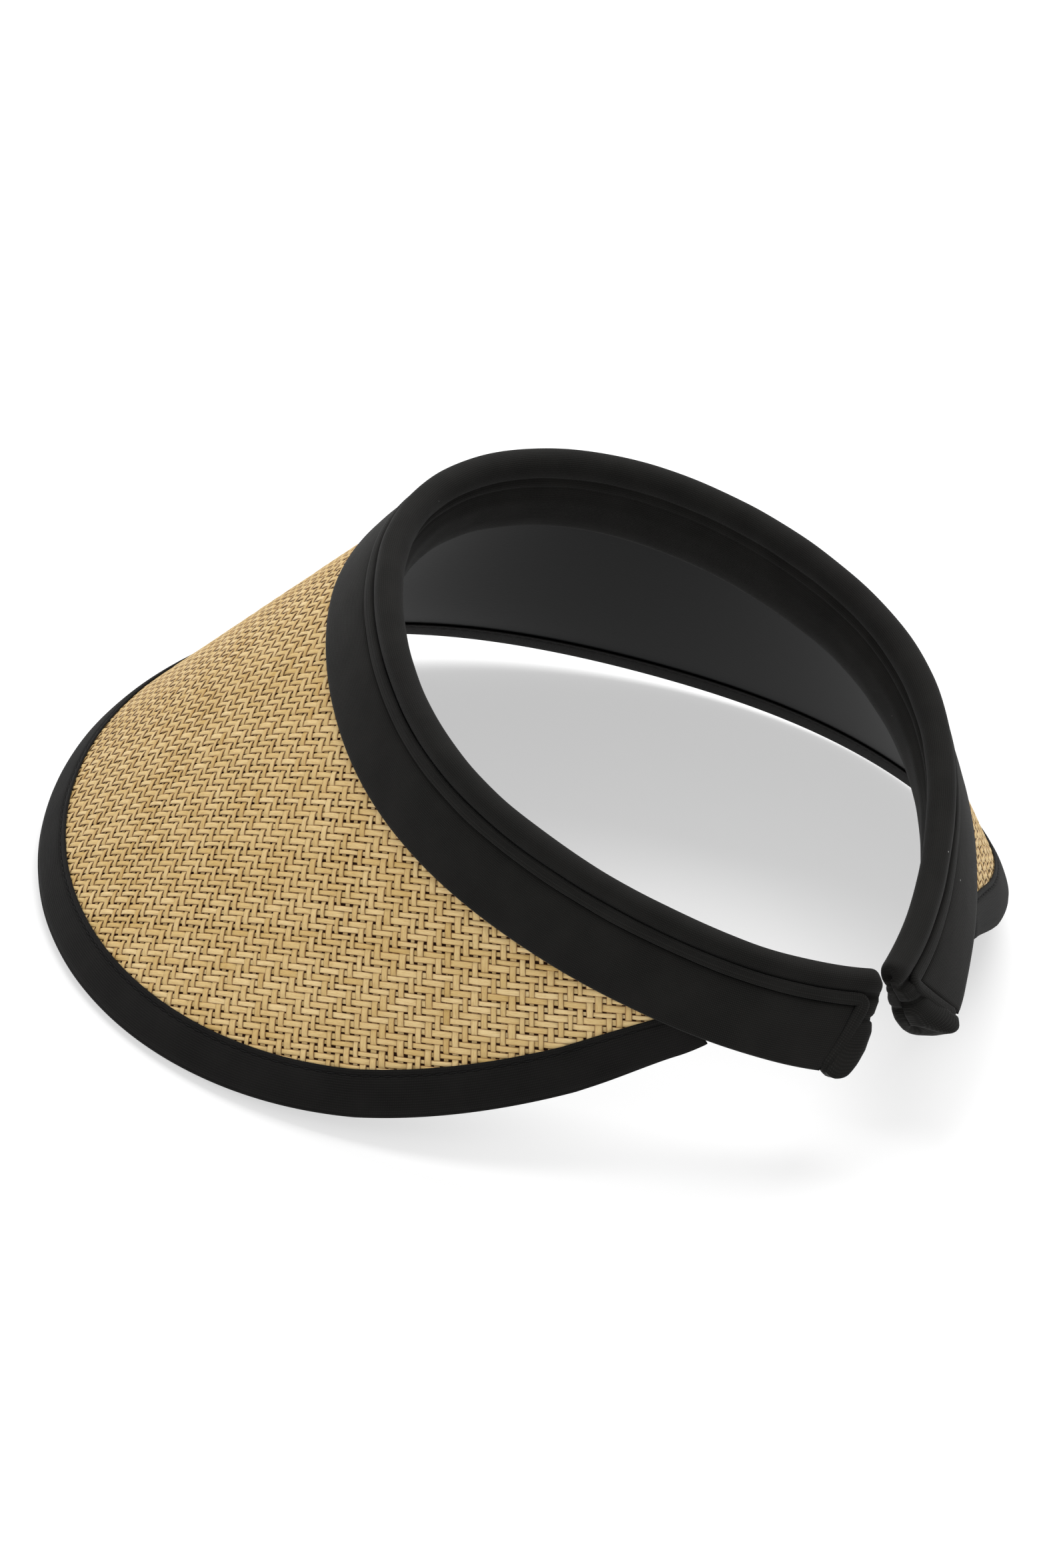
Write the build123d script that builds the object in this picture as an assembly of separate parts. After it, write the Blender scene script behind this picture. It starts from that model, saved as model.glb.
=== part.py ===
"""Clip-on sun visor: C-shaped padded headband with a steep woven-straw brim.

Everything is laid out in the headband's own frame first: the welt seam runs round in the plane
z = 0, the wearer looks along -Y, +X is the wearer's left and phi is the angle round the head
(0 at the forehead, 180 degrees at the back).  The finished pieces are then leaned back by
REST_PITCH, which is how the visor sits on a table on the two low sides of its brim.
Units are millimetres.
"""
import os
from math import atan2, cos, degrees, hypot, pi, radians, sin, sqrt, tan

from build123d import *

# ---- headband, measured at the welt seam ------------------------------------------------------
HEAD_RADIUS = 85.0      # mean plan radius
HEAD_OVAL = 5.2         # longer front to back than side to side
HEAD_EGG = 1.25
HEAD_SQUARE = 0.95
SADDLE = (-3.5, 0.95, -0.8)     # forehead and nape sit lower than the temples
PANEL_HEIGHT = 19.5     # welt seam to the panel's lower edge
LEAN = (27.2, -5.3, -0.3)       # degrees the panel leans outwards going down: mean, front, sides
END_ANGLE = 174.8       # where the outer panel stops at the back
END_TILT = 25.5         # degrees the panel's end seam slants forwards going down
COVER_TILT = 16.0       # the padding behind it is cut less steeply
LOBE_LENGTH = 4.0       # the rounded end beyond that seam

# ---- the two arms straighten and flare towards the back: (starts at, amount at 175 degrees) ----
REAR_STRAIGHT = ((115.0, 10.2), (140.0, 7.8))
REAR_RISE = (115.0, 3.4)
REAR_LEAN = (95.0, 18.8)
REAR_SLIM = (115.0, 0.25)       # share by which the padding thins, below SLIM_DEPTH
SLIM_DEPTH = -5.0

# ---- brim -------------------------------------------------------------------------------------
WING_ANGLE = 156.4      # where the brim runs out at each side of the back
REACH = (53.7, 41.8, -90.3)     # outward reach: forehead, side fullness, back cut-in
DROP = (120.0, -86.9, -17.8)    # fall below the panel's edge: forehead, side rise, back rise
CORNER = (2.25, 0.416)          # roundness of the wing corners
MARGIN = 9.0            # part of the brim sewn in behind the outer panel
BINDING_WIDTH = 11.5
BINDING_THICK = 0.6

# ---- cloth and board thicknesses, as (outer face, inner face) below the panel's surface -------
PANEL_THICK = 1.1
STRAW = (-1.4, -2.2)
BOARD = (-2.35, -3.35)
LINING = (-3.5, -4.0)
SPRING = (-1.4, -2.2)
SPRING_BAND = (2.2, 9.4)        # where the spring strip lies, down from the welt seam
COVER_THICK = 0.9

# ---- hinge line of each free end --------------------------------------------------------------
HINGE_ANGLE = 159.0
HINGE_GAP = 0.9         # cut between the front part and each free end

# ---- how it rests -----------------------------------------------------------------------------
REST_PITCH = 22.5
REST_SHIFT = (0.0, 45.14, 87.43)

ROLL_CENTRE = (-2.5, -4.35)     # padded roll along the top edge, as (out, down) from the welt
ROLL_RADIUS = 4.1


def series(phi, terms):
    return sum(a * cos(k * phi) for k, a in terms)


def rear(phi, start):
    """0 up to the start angle, growing evenly to 1 at 175 degrees."""
    return max(abs(phi) - radians(start), 0.0) / radians(175.0 - start)


def plan_radius(phi):
    loop = series(phi, ((0, HEAD_RADIUS), (2, HEAD_OVAL), (3, HEAD_EGG), (4, HEAD_SQUARE)))
    return loop + sum(amount * rear(phi, start) ** 2 for start, amount in REAR_STRAIGHT)


def plan(phi):
    r = plan_radius(phi)
    return Vector(r * sin(phi), -r * cos(phi), 0)


def along(phi):
    return (plan(phi + 1e-3) - plan(phi - 1e-3)).normalized()


def lean(phi):
    return radians(series(phi, enumerate(LEAN)) + REAR_LEAN[1] * rear(phi, REAR_LEAN[0]) ** 1.5)


def station(phi, tilt=0.0):
    """Origin on the welt seam, unit vector out of the panel, unit vector down the panel."""
    rise = series(phi, enumerate(SADDLE, 2)) + REAR_RISE[1] * rear(phi, REAR_RISE[0]) ** 2
    origin = plan(phi) + Vector(0, 0, rise)
    go = along(phi)
    away = Vector(go.Y, -go.X, 0)
    a = lean(phi)
    out = away * cos(a) + Vector(0, 0, sin(a))
    down = away * sin(a) - Vector(0, 0, cos(a))
    side = 1 if phi >= 0 else -1
    down = down * cos(tilt) - go * (side * sin(tilt))
    return origin, out, down


def band_point(phi, t, s, tilt=0.0):
    origin, out, down = station(phi, tilt)
    return origin + out * t + down * (s / cos(tilt))


# ---- brim surface -----------------------------------------------------------------------------
def brim_ray(phi):
    """Outward and downward run of the brim from the panel's lower edge, in the plane at phi."""
    u = min(abs(phi) / radians(WING_ANGLE), 1.0)
    corner = (1 - u ** CORNER[0] + 1e-9) ** CORNER[1]
    reach = corner * (REACH[0] + REACH[1] * u ** 2 + REACH[2] * u ** 4)
    drop = corner * (DROP[0] + DROP[1] * u ** 2 + DROP[2] * u ** 4)
    return reach, drop


def brim_point(phi, v):
    """Point on the reference surface: v = 0 at the panel's edge, 1 at the brim's outer edge."""
    go = along(phi)
    reach, drop = brim_ray(phi)
    return band_point(phi, 0, PANEL_HEIGHT) + Vector(go.Y * reach, -go.X * reach, -drop) * v


def brim_normal(phi, v):
    h = 1e-3
    lo = min(max(v, 0.02), 0.98)
    a = brim_point(phi + h, lo) - brim_point(phi - h, lo)
    b = brim_point(phi, lo + 0.01) - brim_point(phi, lo - 0.01)
    n = a.cross(b).normalized()
    return n if n.Z > 0 else n * -1


def ray_normal(phi):
    """Unit vector square to the brim's straight run, in the upright plane at phi."""
    go = along(phi)
    reach, drop = brim_ray(phi)
    size = hypot(reach, drop)
    return Vector(go.Y * drop / size, -go.X * drop / size, reach / size)


def wing_angles(count, reach=0.994):
    """Angles crowded towards the two wing corners, where the outline turns quickly."""
    top = pi / 2 * reach
    return [radians(WING_ANGLE) * sin(top * (2 * i / (count - 1) - 1)) for i in range(count)]


# ---- solids from cross-sections ---------------------------------------------------------------
def wire_from(curves):
    """Closed wire from point runs; a run of two points is a line, a longer one a smooth curve."""
    edges = []
    for run in curves:
        edges.append(Edge.make_line(*run) if len(run) == 2 else Edge.make_spline(run))
    return Wire(edges)


def loft_runs(stations, section):
    """Solid through one closed section per station; section(item) returns the point runs."""
    return Solid.make_loft([wire_from(section(item)) for item in stations], False)


def spread(start, stop, count):
    return [start + (stop - start) * i / (count - 1) for i in range(count)]


def inset(points, depth):
    """The same run of (out, down) points moved sideways by depth, to the right of travel."""
    moved = []
    for i, (t, s) in enumerate(points):
        a = points[max(i - 1, 0)]
        b = points[min(i + 1, len(points) - 1)]
        size = hypot(b[0] - a[0], b[1] - a[1])
        moved.append((t + depth * (b[1] - a[1]) / size, s - depth * (b[0] - a[0]) / size))
    return moved


# ---- headband cross-section, as (out, down) from the welt seam --------------------------------
def roll_arc(radius):
    angles = (10, 45, 80, 115, 150, 185)
    return [
        (ROLL_CENTRE[0] + radius * cos(radians(a)), ROLL_CENTRE[1] - radius * sin(radians(a)))
        for a in angles
    ]


INNER_FACE = [(-8.3, -1.2), (-10.4, 1.4), (-12.5, 5.2), (-14.1, 9.4), (-14.4, 13.2), (-12.9, 15.9)]
COVER_START = [(-0.3, -1.95)]
FRONT_TUCK = [(-9.6, 17.1), (-4.8, 17.5)]
ARM_TUCK = [(-9.0, 17.7), (-5.0, 18.7), (-1.5, 19.3)]


def cover_run(tuck):
    return COVER_START + roll_arc(ROLL_RADIUS) + INNER_FACE + tuck


def cover_section(tuck):
    outer = cover_run(tuck)
    inner = inset(outer, COVER_THICK)
    return outer, inner[::-1]


def pad_section(tuck, back):
    inner = inset(cover_run(tuck), COVER_THICK + 0.15)[1:-1]
    return inner, back


PANEL_BULGE = [(0.0, 1.9), (0.35, 5.5), (0.5, 10.0), (0.3, 15.0), (-0.15, PANEL_HEIGHT)]
FRONT_BACK = [(-4.3, 16.2), (-4.3, 10.4), (-2.5, 9.7), (-2.5, 0.6), (-1.5, -2.6)]
ARM_BACK = [(-2.5, 17.2), (-2.5, 0.6), (-1.5, -2.6)]


def slim(phi, t):
    """The padding is thinner towards the two free ends."""
    return t + (SLIM_DEPTH - t) * REAR_SLIM[1] * rear(phi, REAR_SLIM[0]) if t < SLIM_DEPTH else t


def lift(points, where):
    phi, tilt = where
    return [band_point(phi, slim(phi, t), s, tilt) for t, s in points]


def two_runs(run_a, run_b):
    """Section with two smooth sides and straight ends."""
    def section(where):
        a = lift(run_a, where)
        b = lift(run_b, where)
        return [a, [a[-1], b[0]], b, [b[-1], a[0]]]
    return section


def run_and_lines(run, corners):
    """Section with one smooth side closed by straight lines through the corners."""
    def section(where):
        a = lift(run, where)
        c = [a[-1]] + lift(corners, where) + [a[0]]
        return [a] + [[c[i], c[i + 1]] for i in range(len(c) - 1)]
    return section


def polygon(points):
    def section(where):
        p = lift(points, where)
        return [[p[i], p[(i + 1) % len(p)]] for i in range(len(p))]
    return section


def front_stations(clear=0.0):
    edge = radians(HINGE_ANGLE) - (HINGE_GAP / 2 + clear) / plan_radius(radians(HINGE_ANGLE))
    return [(phi, 0.0) for phi in spread(-edge, edge, 33)]


def arm_stations(side, tilt, short=0.0):
    """Stations along a free end; the sections lean over until they match the slanted end."""
    first = radians(HINGE_ANGLE) + HINGE_GAP / 2 / plan_radius(radians(HINGE_ANGLE))
    last = radians(END_ANGLE) - short / plan_radius(radians(END_ANGLE))
    result = []
    for i in range(7):
        part = i / 6
        result.append((side * (first + (last - first) * part), radians(tilt) * part))
    return result


def outer_panel(stations):
    inner = [(t - PANEL_THICK, s) for t, s in PANEL_BULGE][::-1]
    return loft_runs(stations, two_runs(PANEL_BULGE, inner))


def inner_cover(stations, tuck):
    return loft_runs(stations, two_runs(*cover_section(tuck)))


def foam_pad(stations, tuck, back):
    return loft_runs(stations, run_and_lines(*pad_section(tuck, back)))


def spring_strip(stations):
    top, low = SPRING_BAND
    out, back = SPRING
    return loft_runs(stations, polygon([(out, top), (out, low), (back, low), (back, top)]))


def oblong(half_t, half_s, count=10):
    """Rounded flat section of the welt, as a closed ring of (out, across) points."""
    ring = []
    for i in range(count):
        a = 2 * pi * i / count
        ring.append((half_t * cos(a), half_s * sin(a)))
    return ring


def welt_section(origin, out, across):
    ring = [origin + out * t + across * s for t, s in oblong(0.95, 1.6)]
    return Wire([Edge.make_spline(ring, periodic=True)])


def front_welt():
    wires = []
    for phi, tilt in front_stations():
        origin, out, down = station(phi)
        wires.append(welt_section(origin, out, down))
    return Solid.make_loft(wires, False)


def end_seam_phi(side, s):
    """Angle of the slanted end seam at a distance s down the panel."""
    run = s * tan(radians(END_TILT)) / plan_radius(radians(END_ANGLE))
    return side * (radians(END_ANGLE) - run)


def arm_welt(side):
    """The welt turns the corner at the panel's end and runs down the slanted seam."""
    first = arm_stations(side, END_TILT)[0][0]
    scale = plan_radius(radians(END_ANGLE))
    offset = side * 1.7 / scale
    corner = 3.0
    turn = side * (radians(END_ANGLE) - corner / scale) + offset
    path = [(phi, 0.0) for phi in spread(first, turn, 11)]
    for i in range(1, 6):
        a = pi / 2 * i / 6
        phi = side * (radians(END_ANGLE) - corner * (1 - sin(a)) / scale) + offset
        path.append((phi, corner * (1 - cos(a))))
    for s in spread(corner, PANEL_HEIGHT - 1.0, 6):
        path.append((end_seam_phi(side, s - corner) + offset, s))
    points = [band_point(phi, 0.15, s) for phi, s in path]
    wires = []
    for i, (phi, s) in enumerate(path):
        travel = (points[min(i + 1, len(path) - 1)] - points[max(i - 1, 0)]).normalized()
        out = station(phi)[1]
        out = (out - travel * out.dot(travel)).normalized()
        wires.append(welt_section(points[i], out, travel.cross(out) * -side))
    return Solid.make_loft(wires, False)


def end_lobe(side):
    """Rounded, padded end of the headband beyond the panel's end seam."""
    start = arm_stations(side, COVER_TILT)[-1][0]
    scale = plan_radius(radians(END_ANGLE))
    back = [(-9.0, 17.7), (-5.4, 18.0), (-3.4, 17.2), (-2.7, 10.0), (-2.6, 2.0), (-1.8, -2.8)]
    outline = roll_arc(ROLL_RADIUS)[1:] + INNER_FACE + back
    middle = (-6.5, 5.5)
    wires = []
    for i in range(6):
        a = pi / 2 * i / 6.4
        grow = cos(a) ** 0.7 * 0.97
        phi = start + side * (0.35 + LOBE_LENGTH * sin(a)) / scale
        points = []
        for t, s in outline:
            t = middle[0] + (t - middle[0]) * grow
            s = middle[1] + (s - middle[1]) * grow
            points.append(band_point(phi, slim(phi, t), s, radians(COVER_TILT)))
        wires.append(Wire([Edge.make_spline(points, periodic=True)]))
    return Solid.make_loft(wires, False)


# ---- brim layers ------------------------------------------------------------------------------
def brim_layer(faces, pull_back, count=41, margin=MARGIN):
    """One sheet of the brim: its sewn-in margin, the kink at the panel's edge, the brim itself."""
    def section(phi):
        here = station(phi)[1]
        size = (brim_point(phi, 1) - brim_point(phi, 0)).length
        tip = 1 - pull_back / max(size, 2 * pull_back)
        square = ray_normal(phi)
        middle = (here + square).normalized()
        sheet = []
        for depth in faces:
            sheet.append([
                band_point(phi, depth, PANEL_HEIGHT - margin),
                band_point(phi, 0, PANEL_HEIGHT) + middle * (depth / max(middle.dot(here), 0.8)),
                brim_point(phi, tip) + square * depth,
            ])
        ring = sheet[0] + sheet[1][::-1]
        return [[ring[i], ring[(i + 1) % 6]] for i in range(6)]
    return loft_runs(wing_angles(count, 0.985), section)


def slide_inwards(phi, width):
    """(phi, v) of the surface point a given width in from the edge, square to the edge."""
    h = 1e-3
    limit = radians(WING_ANGLE)
    lo = max(phi - h, -limit)
    hi = min(phi + h, limit)
    edge = (brim_point(hi, 1) - brim_point(lo, 1)).normalized()
    inward = edge.cross(brim_normal(phi, 1))
    if inward.dot(brim_point(phi, 0) - brim_point(phi, 1)) < 0:
        inward = inward * -1
    goal = brim_point(phi, 1) + inward * width
    p, v = phi, 1 - width / (brim_point(phi, 1) - brim_point(phi, 0)).length
    for _ in range(8):
        here = brim_point(p, v)
        dp = (brim_point(p + h, v) - brim_point(p - h, v)) * (1 / (2 * h))
        dv = brim_point(p, 1) - brim_point(p, 0)
        gap = goal - here
        a, b, c = dp.dot(dp), dp.dot(dv), dv.dot(dv)
        det = a * c - b * b
        p += (gap.dot(dp) * c - gap.dot(dv) * b) / det
        v += (gap.dot(dv) * a - gap.dot(dp) * b) / det
    return p, v


def binding_reach(phi):
    """Widest binding that still stops just clear of the headband at this place on the edge."""
    width = BINDING_WIDTH
    while width > 1.0:
        p, v = slide_inwards(phi, width)
        size = (brim_point(p, 1) - brim_point(p, 0)).length
        if abs(p) <= abs(phi) + 0.2 and v * size > 1.2:
            return width, (p, v)
        width -= 0.5
    return width, slide_inwards(phi, width)


def binding_section(phi):
    """U-shaped fold of tape round the edge of the three brim layers."""
    width, (p, v) = binding_reach(phi)
    top_gap = STRAW[0] + 0.15
    low_gap = LINING[1] - 0.3
    edge = brim_point(phi, 1)
    square = brim_normal(phi, 1)
    step = brim_point(phi + 1e-4, 1) - brim_point(phi - 1e-4, 1)
    inward = step.cross(square).normalized()
    offset = brim_point(p, v) - edge
    if inward.dot(offset) < 0:
        inward = inward * -1
    root = edge + inward * offset.dot(inward) + square * offset.dot(square)
    root_square = brim_normal(p, v)
    root_square = (inward * root_square.dot(inward) + square * root_square.dot(square)).normalized()
    rim = edge - inward * BINDING_THICK
    return [
        root + root_square * (top_gap + BINDING_THICK),
        rim + square * (top_gap + BINDING_THICK),
        rim + square * (low_gap - BINDING_THICK),
        root + root_square * (low_gap - BINDING_THICK),
        root + root_square * low_gap,
        edge + square * low_gap,
        edge + square * top_gap,
        root + root_square * top_gap,
    ]


def brim_binding():
    def section(phi):
        ring = binding_section(phi)
        return [[ring[i], ring[(i + 1) % 8]] for i in range(8)]
    return loft_runs(wing_angles(61, 0.985), section)


def binding_stitches():
    """Row of short thread stitches just inside the binding's inner edge."""
    stitches = []
    pitch = 3.6
    travelled = 0.0
    previous = None
    steps = 1400
    for i in range(steps + 1):
        phi = radians(WING_ANGLE) * sin(pi / 2 * 0.93 * (2 * i / steps - 1))
        width, _ = binding_reach(phi) if i % 20 == 0 or previous is None else (width, None)
        p, v = slide_inwards(phi, max(width - 1.6, 0.6))
        point = brim_point(p, v) + brim_normal(p, v) * (STRAW[0] + 0.15 + BINDING_THICK + 0.35)
        if previous is not None:
            travelled += (point - previous).length
            if travelled >= pitch and width > 8.5:
                travelled = 0.0
                go = (point - previous).normalized()
                place = Plane(origin=point - go * 1.15, z_dir=go)
                stitches.append(Solid.make_cylinder(0.22, 2.3, place))
        previous = point
    return Compound(children=stitches)


def settle(shape):
    """Lean the visor back the way it rests and put the origin under its middle on the table."""
    return Location(REST_SHIFT) * Location((0, 0, 0), (-REST_PITCH, 0, 0)) * shape


def build():
    front = front_stations()
    nodes = {
        "brim_straw": brim_layer(STRAW, 0.3),
        "brim_board": brim_layer(BOARD, 0.5),
        "brim_lining": brim_layer(LINING, 0.8),
        "brim_binding": brim_binding(),
        "binding_stitches": binding_stitches(),
        "outer_panel_front": outer_panel(front),
        "inner_cover_front": inner_cover(front, FRONT_TUCK),
        "foam_pad_front": foam_pad(front, FRONT_TUCK, FRONT_BACK),
        "spring_strip_front": spring_strip(front),
        "welt_front": front_welt(),
    }
    for name, side in (("left", 1), ("right", -1)):
        nodes["outer_panel_" + name] = outer_panel(arm_stations(side, END_TILT))
        arm = arm_stations(side, COVER_TILT)
        nodes["inner_cover_" + name] = inner_cover(arm, ARM_TUCK)
        nodes["foam_pad_" + name] = foam_pad(arm, ARM_TUCK, ARM_BACK)
        nodes["spring_strip_" + name] = spring_strip(arm_stations(side, COVER_TILT, 5.0))
        nodes["welt_" + name] = arm_welt(side)
        nodes["end_lobe_" + name] = end_lobe(side)
    return {name: settle(shape) for name, shape in nodes.items()}


os.makedirs("parts", exist_ok=True)
for name, shape in build().items():
    shape.label = name
    export_step(shape, "parts/" + name + ".step")
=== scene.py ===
"""Clip-on straw sun visor: the looks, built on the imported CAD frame.  Lengths below are in
millimetres in the headband's own frame; to_table() turns them into metres as the visor rests."""

from math import cos, pi, radians, sin

import bpy
import numpy as np
from mathutils import Matrix, Vector


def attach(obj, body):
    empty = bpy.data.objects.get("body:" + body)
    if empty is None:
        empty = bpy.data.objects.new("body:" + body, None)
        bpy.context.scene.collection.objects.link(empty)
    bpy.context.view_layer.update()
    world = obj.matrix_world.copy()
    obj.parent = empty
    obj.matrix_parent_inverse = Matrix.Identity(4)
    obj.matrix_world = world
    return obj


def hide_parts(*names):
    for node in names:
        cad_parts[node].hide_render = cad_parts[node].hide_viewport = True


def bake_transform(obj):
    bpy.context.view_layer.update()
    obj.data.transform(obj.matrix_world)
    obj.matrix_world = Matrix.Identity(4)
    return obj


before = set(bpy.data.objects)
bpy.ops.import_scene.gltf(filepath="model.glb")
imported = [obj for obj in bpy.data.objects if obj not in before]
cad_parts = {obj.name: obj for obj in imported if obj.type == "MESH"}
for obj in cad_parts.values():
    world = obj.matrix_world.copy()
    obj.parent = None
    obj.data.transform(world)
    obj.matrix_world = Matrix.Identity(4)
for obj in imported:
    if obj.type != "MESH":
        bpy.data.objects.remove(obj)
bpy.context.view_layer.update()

# ---- the same driving dimensions as the CAD ---------------------------------------------------
REST_PITCH = radians(22.5)                  # the headband leans back by this much on the table
REST_SHIFT = np.array([0.0, 45.14, 87.43])  # its middle in the shared frame
WING = radians(156.4)                       # angle round the headband where the brim's wings end
HINGE = radians(159.0)                      # where the free ends start
END = radians(174.8)                        # and where their panels end
END_TILT = radians(25.5)                    # slant of the panel's end seam
COVER_TILT = radians(16.0)                  # slant of the padding's end
PANEL_HEIGHT = 19.5
BINDING_WIDTH = 11.5
UP = np.array([0.0, 0.0, 1.0])
MEAN_RADIUS = 88.0      # turns an angle round the headband into a length along it
NUDGE = 1e-3            # small step in radians, for directions


# ---- shape of the headband and brim -----------------------------------------------------------
def series(phi, terms):
    """Sum of cosines, each given as (multiple of the angle, size)."""
    return sum(a * np.cos(k * phi) for k, a in terms)


def rear(phi, start):
    """How far round towards the free ends, from 0 at start (degrees) to 1 near the tips."""
    return np.clip((np.abs(phi) - radians(start)) / radians(175.0 - start), 0, None)


def radius(phi):
    """Distance of the welt seam from the upright axis; the free ends reach further back."""
    oval = series(phi, ((0, 85.0), (2, 5.2), (3, 1.25), (4, 0.95)))
    return oval + 10.2 * rear(phi, 115) ** 2 + 7.8 * rear(phi, 140) ** 2


def slim(phi, t):
    """The padding behind the band thins out towards the free ends."""
    return np.where(t < -5, t + (-5 - t) * 0.25 * rear(phi, 115), t)


def plan(phi):
    """Point of the seam seen from above, phi being 0 at the forehead and positive to the left."""
    r = radius(phi)
    return np.stack([r * np.sin(phi), -r * np.cos(phi), 0 * phi], -1)


def unit(v):
    """The same direction with length 1."""
    return v / np.linalg.norm(v, axis=-1, keepdims=True)


def along(phi):
    """Unit direction along the headband, seen from above."""
    return unit(plan(phi + NUDGE) - plan(phi - NUDGE))


def away(phi):
    """Unit direction outwards from the headband, seen from above."""
    go = along(phi)
    return np.stack([go[..., 1], -go[..., 0], 0 * phi], -1)


def band_axes(phi):
    """Point on the welt seam, unit vector out of the panel, unit vector down the panel."""
    rise = series(phi, ((2, -3.5), (3, 0.95), (4, -0.8))) + 3.4 * rear(phi, 115) ** 2
    origin = plan(phi) + UP * rise[..., None]
    lean = series(phi, ((0, 27.2), (1, -5.3), (2, -0.3))) + 18.8 * rear(phi, 95) ** 1.5
    lean = np.radians(lean)[..., None]
    side = away(phi)
    return origin, side * np.cos(lean) + UP * np.sin(lean), side * np.sin(lean) - UP * np.cos(lean)


def band(phi, t, s, tilt=0.0):
    """Point t out of the panel and s down from the welt seam, on a section tilted forwards."""
    phi, t, s, tilt = np.broadcast_arrays(*(np.asarray(a, float) for a in (phi, t, s, tilt)))
    origin, out, down = band_axes(phi)
    slant = (np.sign(phi) * np.tan(tilt) * s)[..., None]
    return origin + out * t[..., None] + down * s[..., None] - along(phi) * slant


def brim_ray(phi):
    """Unit direction and length of the brim's straight run from the panel's lower edge."""
    u = np.minimum(np.abs(phi) / WING, 1)
    corner = (1 - u ** 2.25 + 1e-9) ** 0.416
    reach = corner * (53.7 + 41.8 * u ** 2 - 90.3 * u ** 4)
    drop = corner * (120.0 - 86.9 * u ** 2 - 17.8 * u ** 4)
    run = away(phi) * reach[..., None] - UP * drop[..., None]
    size = np.linalg.norm(run, axis=-1)
    return run / size[..., None], size


def to_table(p):
    """From millimetres in the headband's frame to metres in the shared frame."""
    c, s = np.cos(REST_PITCH), np.sin(REST_PITCH)
    x, y, z = p[..., 0], p[..., 1], p[..., 2]
    return (np.stack([x, y * c + z * s, -y * s + z * c], -1) + REST_SHIFT) * 0.001


# ---- the brim laid out flat, as it is cut -----------------------------------------------------
def unroll(lower, outer):
    """Flat outline of the ruled brim: the two edges laid out in the plane, one ray at a time."""
    def third(p3, q3, p2, q2, x3):
        base = np.linalg.norm(q3 - p3)
        a = np.linalg.norm(x3 - p3)
        c = np.linalg.norm(x3 - q3)
        u = (a * a - c * c + base * base) / (2 * base)
        v = np.sqrt(max(a * a - u * u, 0.0))
        ex = (q2 - p2) / base
        return p2 + ex * u + np.array([-ex[1], ex[0]]) * v
    low = [np.zeros(2)]
    out = [np.array([0.0, -np.linalg.norm(outer[0] - lower[0])])]
    for i in range(len(lower) - 1):
        n = third(lower[i], outer[i], low[-1], out[-1], lower[i + 1])
        m = third(lower[i + 1], outer[i], n, out[-1], outer[i + 1])
        low.append(n)
        out.append(m)
    low, out = np.array(low), np.array(out)
    mid = len(low) // 2
    d = unit(out[mid] - low[mid])
    turn = np.array([[-d[1], d[0]], [-d[0], -d[1]]])
    origin = low[mid]
    return (low - origin) @ turn.T, (out - origin) @ turn.T


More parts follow.
